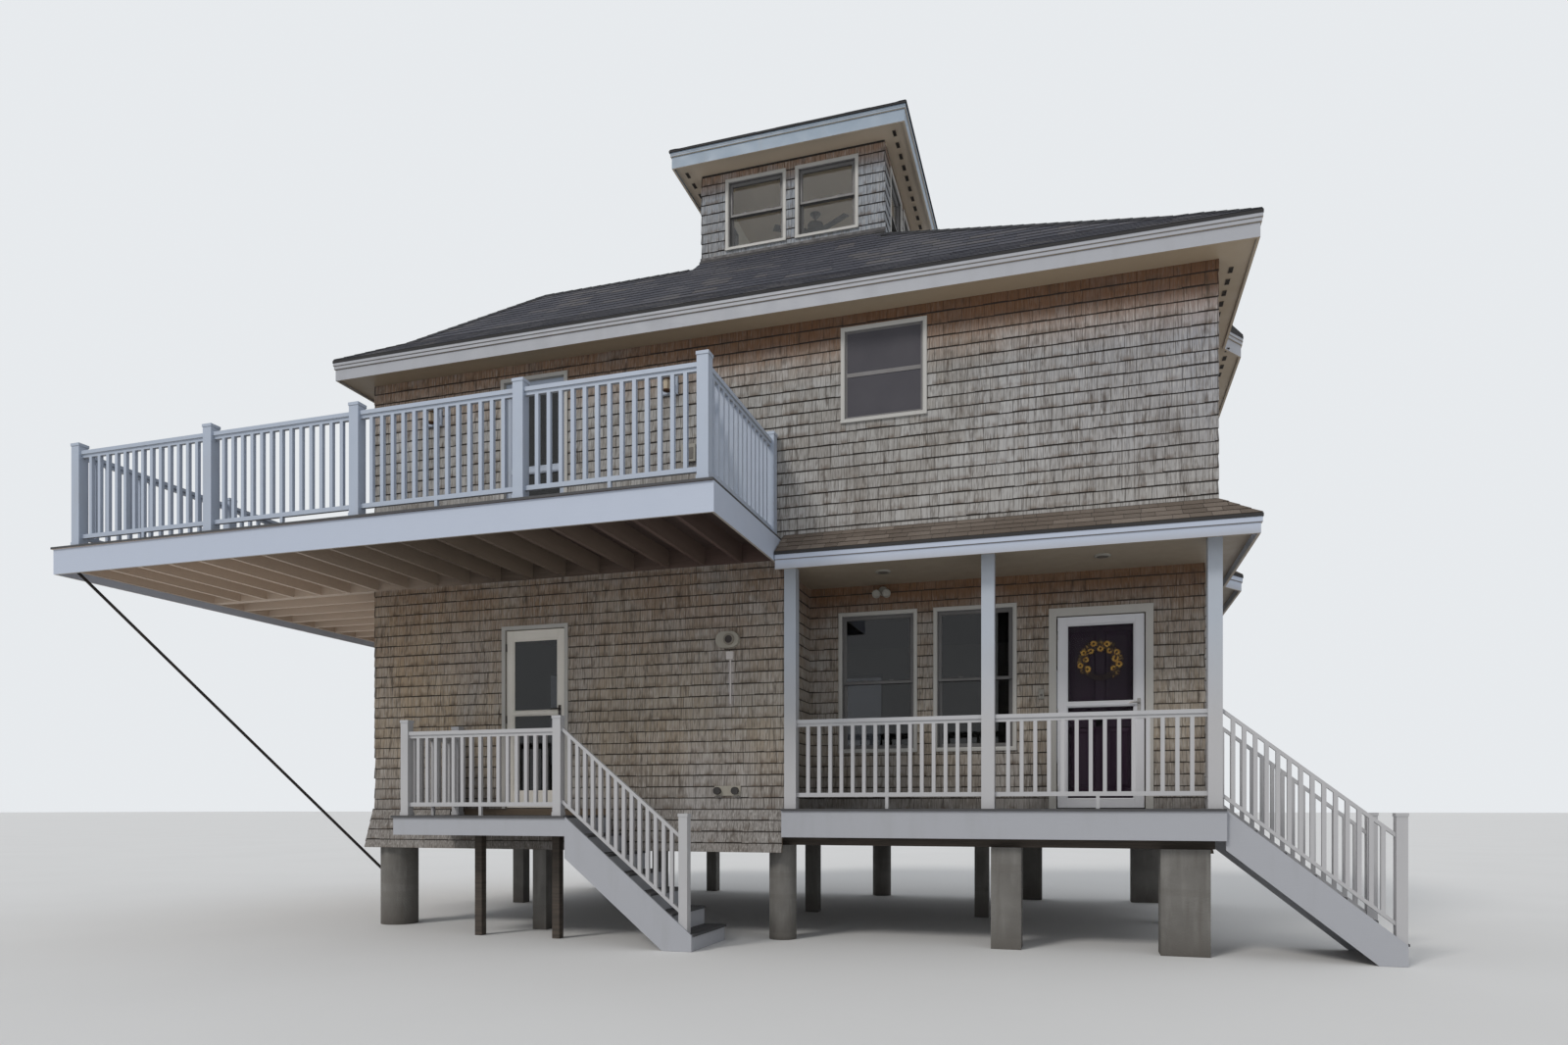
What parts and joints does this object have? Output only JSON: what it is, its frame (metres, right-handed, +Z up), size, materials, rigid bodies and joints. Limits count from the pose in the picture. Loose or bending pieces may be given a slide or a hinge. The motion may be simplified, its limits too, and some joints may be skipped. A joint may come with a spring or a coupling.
{
  "type": "beach house",
  "caption": "Two-storey shingled beach house on piers, with a recessed porch, a wrap-round balcony, a side landing with a stair, a hipped roof and a cupola.",
  "frame": {"origin": "middle of the base, on the ground under the house", "axes": "+Z up, the front of the house faces -Y, +X to the right of someone facing the front"},
  "size_m": [14.006, 8.576, 10.814],
  "materials": {
    "concrete": "rough cast concrete",
    "dark_wood": "weathered timber",
    "framing": "sawn timber",
    "shingles": "weathered cedar shingles",
    "joist_wood": "treated timber",
    "white_trim": "painted white",
    "deck_boards": "composite boards, matte",
    "roof_shingles": "mineral roofing",
    "porch_roofing": "weathered mineral roofing",
    "white_vinyl": "satin",
    "dark_metal": "satin",
    "glass": "clear, dark rooms behind",
    "door_cream": "satin",
    "door_plum": "satin",
    "lantern": "aged bronze",
    "fitting_plastic": "matte"
  },
  "bodies": {
    "root": {"piers": "concrete", "girders": "dark_wood", "ground_floor": "framing", "shingle_skirt": "shingles", "deck_joists": "joist_wood", "deck_fascia": "white_trim", "porch_deck": "deck_boards", "front_wall_left": "shingles", "front_wall_middle": "shingles", "porch_side_wall": "shingles", "porch_back_wall": "shingles", "porch_right_wall": "shingles", "door_lintels": "shingles", "left_wall_low": "shingles", "right_wall_low": "shingles", "back_wall_low": "shingles", "upper_floor": "framing", "front_wall_up": "shingles", "left_wall_up": "shingles", "right_wall_up": "shingles", "back_wall_up": "shingles", "main_roof": "roof_shingles", "eave_trim": "white_trim", "cupola_front_walls": "shingles", "cupola_side_walls": "shingles", "cupola_trim": "white_trim", "cupola_roof": "roof_shingles", "pent_roof": "porch_roofing", "pent_trim": "white_trim", "porch_ceiling": "white_trim", "porch_columns": "white_vinyl", "porch_rails": "white_vinyl", "porch_stair_rails": "white_vinyl", "stair_stringers": "white_trim", "stair_treads": "deck_boards", "stair_risers": "white_trim", "balcony_deck": "deck_boards", "balcony_posts": "white_vinyl", "balcony_rails": "white_vinyl", "balcony_brace": "dark_metal", "landing_deck": "deck_boards", "landing_rails": "white_vinyl", "window_frames": "white_vinyl", "window_glass": "glass", "door_casings": "white_trim", "balcony_door": "white_vinyl", "fan_mount": "dark_metal", "wall_lanterns": "lantern", "meter_box": "fitting_plastic"},
    "left_door_leaf": {"left_door": "door_cream"},
    "storm_door_leaf": {"storm_door": "white_vinyl"},
    "front_door_leaf": {"front_door": "door_plum"},
    "ceiling_fan": {"fan_blades": "dark_metal"}
  },
  "joints": [
    {"name": "left_door_hinge", "type": "hinge", "parent": "root", "child": "left_door_leaf", "pos_m": [-2.484, -2.161, 2.5], "axis": [0, 0, -1], "range_deg": [0, 90]},
    {"name": "storm_door_hinge", "type": "hinge", "parent": "root", "child": "storm_door_leaf", "pos_m": [3.871, -1.111, 2.5], "axis": [0, 0, -1], "range_deg": [0, 90]},
    {"name": "front_door_hinge", "type": "hinge", "parent": "root", "child": "front_door_leaf", "pos_m": [3.871, -0.955, 2.5], "axis": [0, 0, 1], "range_deg": [0, 90]},
    {"name": "fan_spin", "type": "hinge", "parent": "root", "child": "ceiling_fan", "pos_m": [0.539, 0.89, 9.565], "axis": [0, 0, 1], "continuous": true}
  ]
}
